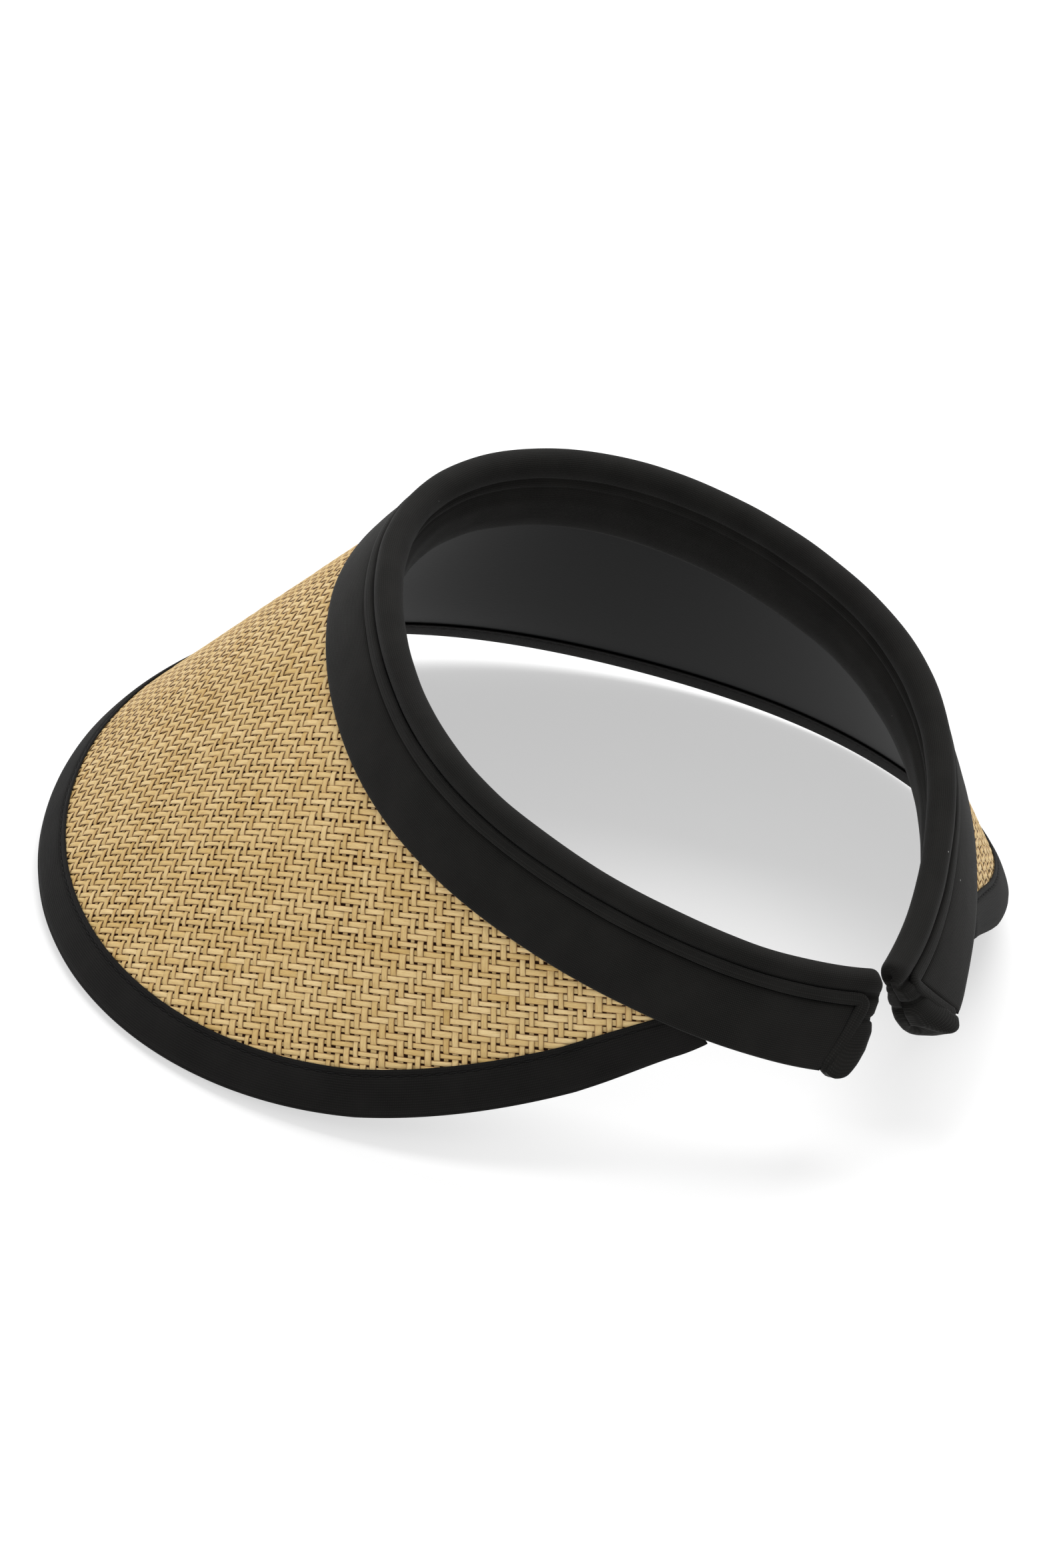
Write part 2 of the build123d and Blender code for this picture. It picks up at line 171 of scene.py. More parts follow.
class FlatBrim:
    """Table from a point of the flat cut to its place and square direction on the bent brim."""
    STEP = 1.0          # spacing of the table
    MARGIN = 6          # table beyond the brim's outline
    RAYS = 2401         # straight lines laid out from headband to outer edge
    SHARES = 360        # first guesses along each of them
    INSIDE = 14         # they start this far inside the headband
    BEYOND = 4          # and end this far beyond the outer edge
    TURNS = 8           # Newton steps from the first guess

    def __init__(self):
        self.phi = WING * np.sin(np.linspace(-1, 1, self.RAYS) * pi / 2 * 0.997)
        lower = band(self.phi, 0, PANEL_HEIGHT)
        go, size = brim_ray(self.phi)
        self.low, self.out = unroll(lower, lower + go * size[:, None])
        self.go = unit(self.out - self.low)
        self.corner = np.floor(np.minimum(self.low.min(0), self.out.min(0))) - self.MARGIN
        far = np.ceil(np.maximum(self.low.max(0), self.out.max(0))) + self.MARGIN
        nx, ny = ((far - self.corner) / self.STEP).astype(int) + 1
        phi, w = self.solve(nx, ny, size)
        phi[~(np.abs(phi) < WING * 1.02)] = np.nan
        self.place3, self.square3 = self.bent(phi, w)
        self.from_band = w
        self.from_edge = self.edge_distance(nx, ny)

    def goal(self, nx, ny):
        """Flat position of every table entry."""
        gx, gy = np.meshgrid(np.arange(nx), np.arange(ny), indexing="ij")
        return np.stack([gx, gy], -1) * self.STEP + self.corner

    def solve(self, nx, ny, size):
        """Angle round the headband and distance from it for every table entry."""
        # first guess: a point of one of the rays that lies in the entry's own cell
        share = np.linspace(0, 1, self.SHARES)
        reach = -self.INSIDE + (size[:, None] + (self.INSIDE + self.BEYOND)) * share[None, :]
        p = self.low[:, None, :] + self.go[:, None, :] * reach[..., None]
        cell = np.rint((p - self.corner) / self.STEP).astype(int).reshape(-1, 2)
        guess = np.full((nx, ny, 2), np.nan)
        keep = (cell[:, 0] >= 0) & (cell[:, 0] < nx) & (cell[:, 1] >= 0) & (cell[:, 1] < ny)
        pairs = np.stack([np.repeat(self.phi, self.SHARES), reach.reshape(-1)], -1)
        guess[cell[keep, 0], cell[keep, 1]] = pairs[keep]
        # then Newton steps towards the entry's own place
        goal = self.goal(nx, ny)
        phi, w = guess[..., 0].copy(), guess[..., 1].copy()
        for _ in range(self.TURNS):
            here, d = self.flat(phi, w)
            more = self.flat(phi + NUDGE, w)[0]
            less = self.flat(phi - NUDGE, w)[0]
            slope = (more - less) / (2 * NUDGE)
            gap = goal - here
            det = slope[..., 0] * d[..., 1] - slope[..., 1] * d[..., 0]
            det = np.where(np.abs(det) < 1e-6, np.nan, det)
            dphi = (gap[..., 0] * d[..., 1] - gap[..., 1] * d[..., 0]) / det
            phi = phi + np.clip(dphi, -0.05, 0.05)
            w = w + (slope[..., 0] * gap[..., 1] - slope[..., 1] * gap[..., 0]) / det
        return phi, w

    def edge_distance(self, nx, ny, batch=20000):
        """Distance of every table entry from the outer edge."""
        edge = self.out[::3]
        goal = self.goal(nx, ny).reshape(-1, 2)
        nearest = np.empty(len(goal))
        for i in range(0, len(goal), batch):
            part = goal[i:i + batch]
            nearest[i:i + batch] = np.sqrt(((part[:, None] - edge[None]) ** 2).sum(-1).min(1))
        return nearest.reshape(nx, ny)

    def flat(self, phi, w):
        """Flat position and direction at angle phi, w from the headband's lower edge."""
        base = np.stack([np.interp(phi, self.phi, self.low[:, k]) for k in (0, 1)], -1)
        go = unit(np.stack([np.interp(phi, self.phi, self.go[:, k]) for k in (0, 1)], -1))
        return base + go * w[..., None], go

    def bent(self, phi, w):
        """The same point on the bent brim, and the direction square to its upper face."""
        def spot(p):
            return band(p, 0, PANEL_HEIGHT) + brim_ray(p)[0] * w[..., None]
        here = spot(phi)
        square = unit(np.cross(spot(phi + NUDGE) - spot(phi - NUDGE), brim_ray(phi)[0]))
        return here, square * np.sign(square[..., 2:3])

    def sample(self, flat_points):
        """Place, square direction, distance from the band's edge, distance from the outer edge."""
        g = (flat_points - self.corner) / self.STEP
        nx, ny = self.from_edge.shape
        i = np.clip(np.floor(g[..., 0]).astype(int), 0, nx - 2)
        j = np.clip(np.floor(g[..., 1]).astype(int), 0, ny - 2)
        fx, fy = g[..., 0] - i, g[..., 1] - j
        result = []
        for field in (self.place3, self.square3, self.from_band, self.from_edge):
            a, b, c, d = field[i, j], field[i + 1, j], field[i, j + 1], field[i + 1, j + 1]
            x, y = (fx, fy) if field.ndim == 2 else (fx[..., None], fy[..., None])
            result.append(a * (1 - x) * (1 - y) + b * x * (1 - y) + c * (1 - x) * y + d * x * y)
        return result


# ---- mesh helpers -----------------------------------------------------------------------------
def new_object(name, verts, faces, uv=None, tone=None, sharp=0):
    """Object from vertices in headband millimetres and an array of quads; unused ones drop out.
    Edges that lie wholly within the first few vertices (sharp of them) are kept crisp."""
    faces = np.asarray(faces)
    used, faces = np.unique(faces, return_inverse=True)
    faces = faces.reshape(-1, 4)
    mesh = bpy.data.meshes.new(name)
    mesh.vertices.add(len(used))
    mesh.vertices.foreach_set("co", to_table(verts[used]).astype(np.float32).ravel())
    mesh.loops.add(faces.size)
    mesh.loops.foreach_set("vertex_index", faces.ravel().astype(np.int32))
    mesh.polygons.add(len(faces))
    mesh.polygons.foreach_set("loop_start", np.arange(0, faces.size, 4, dtype=np.int32))
    mesh.polygons.foreach_set("loop_total", np.full(len(faces), 4, dtype=np.int32))
    mesh.polygons.foreach_set("use_smooth", np.full(len(faces), True))
    mesh.update(calc_edges=True)
    if sharp:
        ends = np.empty(len(mesh.edges) * 2, dtype=np.int32)
        mesh.edges.foreach_get("vertices", ends)
        mesh.edges.foreach_set("use_edge_sharp", (ends.reshape(-1, 2) < sharp).all(1))
    if uv is not None:
        layer = mesh.uv_layers.new(name="uv")
        layer.data.foreach_set("uv", uv[used][faces.ravel()].astype(np.float32).ravel())
    if tone is not None:
        layer = mesh.attributes.new("tone", "FLOAT", "POINT")
        layer.data.foreach_set("value", tone[used].astype(np.float32))
    obj = bpy.data.objects.new(name, mesh)
    bpy.context.scene.collection.objects.link(obj)
    return obj


def grid_quads(rows, cols, flip=False):
    """Quads of a rows x cols vertex grid whose rows are closed rings."""
    i = np.arange(rows - 1)[:, None]
    j = np.arange(cols)[None, :]
    k = (j + 1) % cols
    quads = np.stack([i * cols + j, i * cols + k, (i + 1) * cols + k, (i + 1) * cols + j], -1)
    quads = quads.reshape(-1, 4)
    return quads[:, ::-1] if flip else quads


def cap_quads(start, cols, flip=False):
    """Quads that close a ring of an even number of points by folding it flat."""
    i = np.arange(cols // 2 - 1)
    quads = np.stack([start + i, start + i + 1, start + cols - 2 - i, start + cols - 1 - i], -1)
    return quads[:, ::-1] if flip else quads


def fine_loop(points, step):
    """Smooth closed line through the points, with the points themselves kept."""
    p = np.array(points, float)
    n = len(p)
    result = []
    for i in range(n):
        a, b, c, d = p[(i - 1) % n], p[i], p[(i + 1) % n], p[(i + 2) % n]
        count = max(1, int(round(np.linalg.norm(c - b) / step)))
        ka = np.linalg.norm(b - a) ** 0.5
        kb = ka + np.linalg.norm(c - b) ** 0.5
        kc = kb + np.linalg.norm(d - c) ** 0.5
        for q in range(count):
            t = ka + (kb - ka) * q / count
            a1 = a * (ka - t) / ka + b * t / ka
            a2 = b * (kb - t) / (kb - ka) + c * (t - ka) / (kb - ka)
            a3 = c * (kc - t) / (kc - kb) + d * (t - kb) / (kc - kb)
            b1 = a1 * (kb - t) / kb + a2 * t / kb
            b2 = a2 * (kc - t) / (kc - ka) + a3 * (t - ka) / (kc - ka)
            result.append(b1 * (kb - t) / (kb - ka) + b2 * (t - ka) / (kb - ka))
    return np.array(result)


def tube(name, verts, uv, mat, flip=False, crisp=False):
    """Closed skin over a grid of points whose rows are rings; crisp keeps the first ring's edge sharp."""
    rows, cols = verts.shape[:2]
    quads = [grid_quads(rows, cols, flip), cap_quads(0, cols, not flip),
             cap_quads((rows - 1) * cols, cols, flip)]
    o = new_object(name, verts.reshape(-1, 3), np.concatenate(quads), uv.reshape(-1, 2),
                   sharp=cols if crisp else 0)
    o.data.materials.append(mat)
    return o


def word_for(side):
    """The wearer's side that a sign stands for: 1 is left, -1 is right."""
    return "left" if side > 0 else "right"


def even(points):
    """The same loop with an even number of points, so that its ends can be closed by quads."""
    return points[:len(points) // 2 * 2]


def ring_length(points):
    """Length along a closed line up to each of its points."""
    step = np.linalg.norm(np.diff(points, axis=0, append=points[:1]), axis=1)
    return np.concatenate([[0.0], np.cumsum(step)[:-1]])


def ease(x):
    """Smooth step from 0 to 1 as x goes from 0 to 1."""
    x = np.clip(x, 0, 1)
    return x * x * (3 - 2 * x)


def wobble(a, b, seed, scale):
    """Gentle repeatable unevenness, about -1 to 1, over two lengths in millimetres."""
    r = np.random.default_rng(seed)
    total = 0
    for _ in range(5):
        fa, fb = r.uniform(0.4, 1.6, 2) / scale
        total = total + np.sin(a * fa + b * fb * r.choice([-1, 1]) + r.uniform(0, 6.28))
    return total / 3


# ---- materials --------------------------------------------------------------------------------
BAND_SCALE = 0.3142     # wave texture scale that gives one band per millimetre of the uv map
LINT = (0.35, 0.34, 0.33, 1)
STRIP_EDGE = (0.15, 0.040, 0.004, 1)


def material(name):
    """New material with a principled shader: the material, its node tree and the shader."""
    m = bpy.data.materials.new(name)
    m.use_nodes = True
    tree = m.node_tree
    tree.nodes.clear()
    out = tree.nodes.new("ShaderNodeOutputMaterial")
    shader = tree.nodes.new("ShaderNodeBsdfPrincipled")
    tree.links.new(shader.outputs[0], out.inputs[0])
    return m, tree, shader


def node(tree, kind, inputs=None, **settings):
    """New shader node with its settings, and its inputs linked or set."""
    n = tree.nodes.new(kind)
    for key, value in settings.items():
        setattr(n, key, value)
    for key, value in (inputs or {}).items():
        if isinstance(value, bpy.types.NodeSocket):
            tree.links.new(value, n.inputs[key])
        else:
            n.inputs[key].default_value = value
    return n


def mix(tree, factor, a, b):
    """Colour between a and b."""
    n = tree.nodes.new("ShaderNodeMix")
    n.data_type = "RGBA"
    for socket, value in ((n.inputs[0], factor), (n.inputs[6], a), (n.inputs[7], b)):
        if isinstance(value, bpy.types.NodeSocket):
            tree.links.new(value, socket)
        else:
            socket.default_value = value
    return n.outputs[2]


def ramp(tree, value, stops):
    """Grey value along a ramp of (position, shade) stops."""
    n = tree.nodes.new("ShaderNodeValToRGB")
    tree.links.new(value, n.inputs[0])
    while len(n.color_ramp.elements) < len(stops):
        n.color_ramp.elements.new(0.5)
    for element, (place, shade) in zip(n.color_ramp.elements, stops):
        element.position = place
        element.color = (shade, shade, shade, 1)
    return n.outputs[0]


def cloth(name, colour, pitch, sheen=0.05, specks=True):
    """Black fabric with a fine ribbed knit, uneven depth of colour and a little lint; the knit's ridges
    carry painted light and its grooves painted shade.
    """
    m, tree, shader = material(name)
    uv = node(tree, "ShaderNodeUVMap").outputs[0]
    wales, courses = (
        node(tree, "ShaderNodeTexWave", {"Vector": uv, "Scale": BAND_SCALE / (pitch * stretch),
                                         "Distortion": waver, "Detail": 1.0, "Detail Scale": 2.0},
             bands_direction=direction).outputs["Fac"]
        for direction, stretch, waver in (("X", 1.0, 0.6), ("Y", 1.3, 0.8)))
    knit = node(tree, "ShaderNodeMath", {0: wales, 1: courses}, operation="MULTIPLY")
    fuzz = node(tree, "ShaderNodeTexNoise", {"Vector": uv, "Scale": 1.6 / pitch, "Detail": 3.0})
    cloud = node(tree, "ShaderNodeTexNoise", {"Vector": uv, "Scale": 0.09, "Detail": 3.0})
    height = node(tree, "ShaderNodeMath", {0: knit.outputs[0], 1: fuzz.outputs["Fac"]}, operation="ADD")
    bump = node(tree, "ShaderNodeBump", {"Strength": 0.5, "Distance": 0.00012, "Height": height.outputs[0]})
    tree.links.new(bump.outputs[0], shader.inputs["Normal"])
    light = tuple(c * 1.7 + 0.001 for c in colour) + (1,)
    dark = tuple(c * 0.65 for c in colour) + (1,)
    # painted light and shade: the colour runs from dark in the knit's grooves to light on its ridges
    shade = mix(tree, ramp(tree, knit.outputs[0], ((0.1, 0.0), (0.9, 1.0))), dark, light)
    shade = mix(tree, ramp(tree, cloud.outputs["Fac"], ((0.35, 0.0), (0.7, 0.35))), shade, light)
    if specks:
        cell = node(tree, "ShaderNodeTexVoronoi", {"Vector": uv, "Scale": 0.085, "Randomness": 1.0})
        dot = ramp(tree, cell.outputs["Distance"], ((0.012, 1.0), (0.022, 0.0)))
        shade = mix(tree, dot, shade, LINT)
    tree.links.new(shade, shader.inputs["Base Color"])
    shader.inputs["Roughness"].default_value = 0.85
    shader.inputs["Specular IOR Level"].default_value = 0.1
    shader.inputs["Sheen Weight"].default_value = sheen
    shader.inputs["Sheen Roughness"].default_value = 0.45
    return m


def straw_material(name, light, dark):
    """Flat paper straw: streaks and fibres along each strip, and darker edges."""
    m, tree, shader = material(name)
    uv = node(tree, "ShaderNodeUVMap").outputs[0]
    tone = node(tree, "ShaderNodeAttribute", attribute_name="tone").outputs["Fac"]
    split = node(tree, "ShaderNodeSeparateXYZ", {0: uv})
    stretch = node(tree, "ShaderNodeMapping", {"Vector": uv, "Scale": (0.35, 3.2, 1.0)})
    streak = node(tree, "ShaderNodeTexNoise", {"Vector": stretch.outputs[0], "Scale": 1.0, "Detail": 4.0,
                                               "Roughness": 0.65})
    fine = node(tree, "ShaderNodeMapping", {"Vector": uv, "Scale": (0.9, 11.0, 1.0)})
    fibre = node(tree, "ShaderNodeTexNoise", {"Vector": fine.outputs[0], "Scale": 1.0, "Detail": 2.0})
    base = mix(tree, tone, dark + (1,), light + (1,))
    warm = tuple(c * k for c, k in zip(dark, (0.86, 0.72, 0.5))) + (1,)
    base = mix(tree, ramp(tree, streak.outputs["Fac"], ((0.48, 0.0), (0.75, 0.75))), base, warm)
    pale = tuple(min(1.0, c * 1.25) for c in light) + (1,)
    base = mix(tree, ramp(tree, fibre.outputs["Fac"], ((0.5, 0.0), (0.72, 0.3))), base, pale)
    across = node(tree, "ShaderNodeMath", {0: split.outputs[1]}, operation="ABSOLUTE")
    edge = ramp(tree, across.outputs[0], ((0.70, 0.0), (1.0, 0.95)))
    base = mix(tree, edge, base, STRIP_EDGE)
    tree.links.new(base, shader.inputs["Base Color"])
    height = node(tree, "ShaderNodeMath", {0: streak.outputs["Fac"], 1: fibre.outputs["Fac"]},
                  operation="ADD")
    bump = node(tree, "ShaderNodeBump", {"Strength": 0.5, "Distance": 0.00015, "Height": height.outputs[0]})
    tree.links.new(bump.outputs[0], shader.inputs["Normal"])
    shader.inputs["Roughness"].default_value = 0.52
    shader.inputs["Specular IOR Level"].default_value = 0.35
    return m


def plain(name, colour, rough, spec, grain):
    """Smooth material with a slight uneven grain in its colour and surface."""
    m, tree, shader = material(name)
    place = node(tree, "ShaderNodeTexCoord").outputs["Object"]
    noise = node(tree, "ShaderNodeTexNoise", {"Vector": place, "Scale": 900.0, "Detail": 3.0})
    cloud = node(tree, "ShaderNodeTexNoise", {"Vector": place, "Scale": 22.0, "Detail": 2.0})
    both = node(tree, "ShaderNodeMath", {0: noise.outputs["Fac"], 1: cloud.outputs["Fac"]},
                operation="MULTIPLY")
    dark = tuple(c * 0.8 for c in colour) + (1,)
    light = tuple(min(1.0, c * 1.35) for c in colour) + (1,)
    tree.links.new(mix(tree, both.outputs[0], dark, light), shader.inputs["Base Color"])
    bump = node(tree, "ShaderNodeBump", {"Strength": grain, "Distance": 0.0001,
                                         "Height": noise.outputs["Fac"]})
    tree.links.new(bump.outputs[0], shader.inputs["Normal"])
    shader.inputs["Roughness"].default_value = rough
    shader.inputs["Specular IOR Level"].default_value = spec
    return m


KNIT = cloth("black_jersey", (0.0094, 0.0090, 0.0082), 0.42)
WELT = cloth("black_jersey_strip", (0.0100, 0.0096, 0.0088), 0.42, specks=False)
TAPE = cloth("black_tape", (0.0066, 0.0062, 0.0058), 0.5, sheen=0.03)
LINING = plain("black_lining", (0.0022, 0.0023, 0.0024), rough=0.30, spec=0.03, grain=0.12)
BACKING = plain("dark_backing", (0.022, 0.008, 0.003), rough=0.9, spec=0.1, grain=0.3)
THREAD = plain("black_thread", (0.007, 0.007, 0.007), rough=0.7, spec=0.15, grain=0.3)
STRAW_A = straw_material("straw_lengthwise", light=(0.755, 0.570, 0.285), dark=(0.55, 0.365, 0.120))
STRAW_B = straw_material("straw_crosswise", light=(0.72, 0.54, 0.262), dark=(0.505, 0.325, 0.10))


# ---- woven straw ------------------------------------------------------------------------------
FLAT = FlatBrim()
# "down" strips run forwards from the headband, "round" strips run from side to side
TURN_ROUND = radians(-2.2)      # the weave lies askew on the flat brim
TURN_DOWN = radians(-7.3)
PITCH_ROUND = 2.56      # from one strip to the next
PITCH_DOWN = 1.89
WIDTH_ROUND = 1.74
WIDTH_DOWN = 1.55
COUNT_ROUND = 66        # strips on each side of the middle; those that miss the brim drop out
COUNT_DOWN = 116
# levels are measured square to the surface that the headband's lower edge and the brim's outer edge
# span, and are negative towards the wearer
STRAW_LEVEL = -1.72     # middle of the weave
STRAW_RISE = 0.27       # rise and dip of a strip as it passes over and under
EDGE_DIP = 0.20         # the strips' long edges lie lower than their middles
TAPE_LAP = 8.6          # the weave starts this far from the outer edge, under the binding
PANEL_LAP = 2.4         # and runs this far in under the headband's panel


def over(r, c):
    """Two-over-two twill: +1 where the crosswise strip c is on top at lengthwise strip r."""
    return np.where((r + c) % 4 < 2, 1.0, -1.0)


def strips(name, lengthwise, mat):
    """All parallel strips of one direction, as two pieces, one for each half of the brim."""
    round_way = np.array([cos(TURN_ROUND), sin(TURN_ROUND)])
    down_way = np.array([-sin(TURN_DOWN), cos(TURN_DOWN)])
    if lengthwise:
        go, step_side, pitch, cross, width = down_way, round_way, PITCH_DOWN, PITCH_ROUND, WIDTH_DOWN
        count, crossings = COUNT_DOWN, COUNT_ROUND
    else:
        go, step_side, pitch, cross, width = round_way, down_way, PITCH_ROUND, PITCH_DOWN, WIDTH_ROUND
        count, crossings = COUNT_ROUND, COUNT_DOWN
    # three points from each crossing to the next, eased from over to under
    lines = np.arange(-count, count + 1)
    reach = np.arange(-crossings, crossings + 1, 1 / 3)
    n, m = len(lines), len(reach)
    line, pos = np.meshgrid(lines, reach, indexing="ij")
    lo = np.floor(pos + 1e-6)
    part = ease(pos - lo)
    if lengthwise:
        top = -over(line, lo) * (1 - part) - over(line, lo + 1) * part
    else:
        top = over(lo, line) * (1 - part) + over(lo + 1, line) * part
    # every strip has its own width and place in the row, and wanders a little
    r = np.random.default_rng(11 if lengthwise else 12)
    shift = r.normal(0, 0.07, n)[:, None] + 0.13 * wobble(pos * cross, line * 37.0, 3, 8.0)
    wide = width * (r.uniform(0.82, 1.18, n)[:, None] + 0.15 * wobble(pos * cross, line * 53.0, 4, 5.0))
    centre = (line * pitch + shift)[..., None] * step_side + (pos * cross)[..., None] * go
    # four points across the strip, bent with the brim
    offsets = np.array([-0.5, -0.36, 0.36, 0.5])
    dips = np.array([-EDGE_DIP, 0.0, 0.0, -EDGE_DIP])
    flat = centre[:, :, None, :] + (wide[..., None] * offsets)[..., None] * step_side
    place, square, w, edge = FLAT.sample(flat)
    height = STRAW_LEVEL + STRAW_RISE * top[..., None] + dips
    height = height + r.normal(0, 0.03, n)[:, None, None]
    verts = place + square * height[..., None]
    good = np.isfinite(verts).all((-1, -2)) & (edge[..., 1] > TAPE_LAP) & (w[..., 1] > -PANEL_LAP)
    tone = r.normal(0.5, 0.16, n)[:, None] + 0.22 * wobble(pos * cross, line * 91.0, 5, 5.0)
    tone = np.repeat(np.clip(tone, 0, 1)[..., None], 4, -1)
    uv = np.stack(np.broadcast_arrays((pos * cross + line * 17.3)[..., None], offsets * 2), -1)
    # faces where a point and the next one along both lie on the brim, within the laps
    index = np.arange(n * m * 4).reshape(n, m, 4)
    joined = good[:, :-1] & good[:, 1:]
    quads = np.stack([index[:, :-1, :-1], index[:, :-1, 1:], index[:, 1:, 1:], index[:, 1:, :-1]], -1)
    quads = quads[joined]
    if lengthwise:
        quads = quads[..., ::-1]
    quads = quads.reshape(-1, 4)
    verts, uv, tone = verts.reshape(-1, 3), uv.reshape(-1, 2), tone.reshape(-1)
    x = verts[quads[:, 0], 0]
    pieces = []
    for label, half in (("left", x >= 0), ("right", x < 0)):
        o = new_object(name + "_" + label, verts, quads[half], uv, tone)
        o.data.materials.append(mat)
        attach(o, "visor_front")
        pieces.append(o)
    return pieces


SHEET_LAP = 6.0         # the sheets under the straw run this far up inside the headband
BACKING_LEVELS = (-2.08, -2.3)
BACKING_TRIM = 0.4      # the sheets stop this far short of the outer edge
LINING_LEVELS = (-3.55, -3.95)
LINING_TRIM = 0.5


def brim_sheet(name, levels, trim, mat, slot, **soft):
    """Closed thin sheet over the whole brim between two levels, trimmed short of the outer edge."""
    phi = WING * np.sin(np.linspace(-1, 1, 321) * pi / 2 * 0.985)
    go, size = brim_ray(phi)
    share = np.linspace(0, 1, 41)
    start = np.maximum(-SHEET_LAP, -size * 0.6 - 0.5)
    reach = size - trim - 6 * (1 - ease((size - 4) / 14))
    w = start[:, None] + np.maximum(reach - start, 0.3)[:, None] * share[None]
    here = band(phi, 0, PANEL_HEIGHT)[:, None] + go[:, None] * w[..., None]
    cols = w.shape[1]
    square = FLAT.bent(np.repeat(phi[:, None], cols, 1), np.maximum(w, 1.0))[1]
    top, bottom = levels
    verts = np.concatenate([here + square * top, (here + square * bottom)[:, ::-1]], 1)
    arc = np.repeat((phi * MEAN_RADIUS)[:, None], 2 * cols, 1)
    uv = np.stack([arc, np.concatenate([w, w[:, ::-1]], 1)], -1)
    o = tube(name, verts, uv, mat)
    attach(o, "visor_front")
    return o


# ---- binding ----------------------------------------------------------------------------------
STITCH_LINE = 0.855     # the stitches' place across the binding, as a share of its width
STITCH_PITCH = 3.6
STITCH_LENGTH = 2.5
THREAD_RADIUS = 0.17
THREAD_LEVEL = -0.80
STITCH_PULL = 0.16      # depth of the pucker at each stitch
BRIM_MIDDLE = -2.6      # middle of the brim's thickness
FOLD_BULGE = 2.4        # how much the soft fold stands out beyond the drawn section


def binding_lines(count=860):
    """Evenly spaced points round the flat outer edge, inward directions, and usable widths."""
    line = FLAT.out
    run = np.concatenate([[0], np.cumsum(np.linalg.norm(np.diff(line, axis=0), axis=1))])
    at = np.linspace(0.2, run[-1] - 0.2, count)
    spot = np.stack([np.interp(at, run, line[:, k]) for k in (0, 1)], -1)
    go = unit(np.gradient(spot, axis=0))
    inward = np.stack([-go[:, 1], go[:, 0]], -1)
    widths = np.linspace(0.4, BINDING_WIDTH + 0.4, 45)
    trial = spot[:, None] + inward[:, None] * widths[None, :, None]
    _, _, w, edge = FLAT.sample(trial)
    fine = np.isfinite(w) & (edge > widths * 0.93 - 0.35)
    first_bad = np.where(fine.all(1), len(widths), np.argmin(fine, 1))
    usable = widths[np.clip(first_bad - 1, 0, None)]
    kernel = np.ones(9) / 9
    usable = np.minimum(usable, np.convolve(np.pad(usable, 4, mode="edge"), kernel, "valid"))
    return at, spot, inward, np.minimum(usable, BINDING_WIDTH)


# section of the folded tape: share of its width in from the edge, and level in millimetres
BINDING_PROFILE = [
    (0.985, -1.30), (1.0, -1.0), (0.985, -0.78), (0.94, -0.66), (0.88, -0.72), (0.855, -0.98),
    (0.83, -0.72), (0.76, -0.52), (0.55, -0.42), (0.3, -0.50), (0.12, -0.72), (0.03, -1.05),
    (-0.03, -1.55), (-0.045, -2.3), (-0.035, -3.1), (0.0, -3.7), (0.06, -4.15), (0.2, -4.5),
    (0.5, -4.62), (0.78, -4.55), (0.84, -4.35), (0.9, -4.55), (0.955, -4.5), (0.965, -4.25),
    (0.9, -4.08), (0.5, -4.10), (0.15, -3.95), (0.045, -3.5), (0.015, -2.6), (0.03, -1.8),
    (0.12, -1.35), (0.35, -1.12), (0.6, -1.05), (0.85, -1.25),
]


def binding():
    """The tape folded round the brim's outer edge, with a pucker at each stitch."""
    at, spot, inward, width = binding_lines()
    profile = even(fine_loop(BINDING_PROFILE, 0.09))
    from_tip = np.minimum(at - at[0], at[-1] - at)
    share = profile[:, 0][None]
    a = np.where(share < 0, share * BINDING_WIDTH, share * width[:, None])
    flat = spot[:, None] + inward[:, None] * np.maximum(a, 0)[..., None]
    place, square, _, _ = FLAT.sample(flat)
    outward = unit(FLAT.sample(spot)[0] - FLAT.sample(spot + inward * 0.6)[0])
    stitch = np.exp(-((share - STITCH_LINE) / 0.05) ** 2)
    pull = 0.5 + 0.5 * np.cos(2 * pi * at / STITCH_PITCH)
    depth = profile[:, 1][None] - STITCH_PULL * stitch * pull[:, None]
    depth = depth + 0.06 * wobble(at[:, None], a * 2.0, 21, 7.0) * (profile[:, 1] > -2)[None]
    full = (0.2 + 0.8 * ease((from_tip - 1) / 9))[:, None]      # the fold flattens out at the wing tips
    depth = BRIM_MIDDLE + (depth - BRIM_MIDDLE) * full
    bulge = FOLD_BULGE * np.maximum(-a, 0) * ease((from_tip - 4) / 30)[:, None]
    verts = place + square * depth[..., None] + outward[:, None] * bulge[..., None]
    ok = np.isfinite(verts).all((1, 2))
    verts, at = verts[ok], at[ok]
    uv = np.stack(np.broadcast_arrays(at[:, None], ring_length(profile * [11, 1])), -1)
    o = tube("edge_binding", verts, uv, TAPE, flip=True)
    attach(o, "visor_front")
    return o


# along the stitch (share of its length), lift and thickness (shares of the thread's radius)
STITCH_SHAPE = ((-0.5, -1.2, 0.5), (-0.36, -0.1, 0.9), (0, 0.25, 1.0), (0.36, -0.1, 0.9), (0.5, -1.2, 0.5))


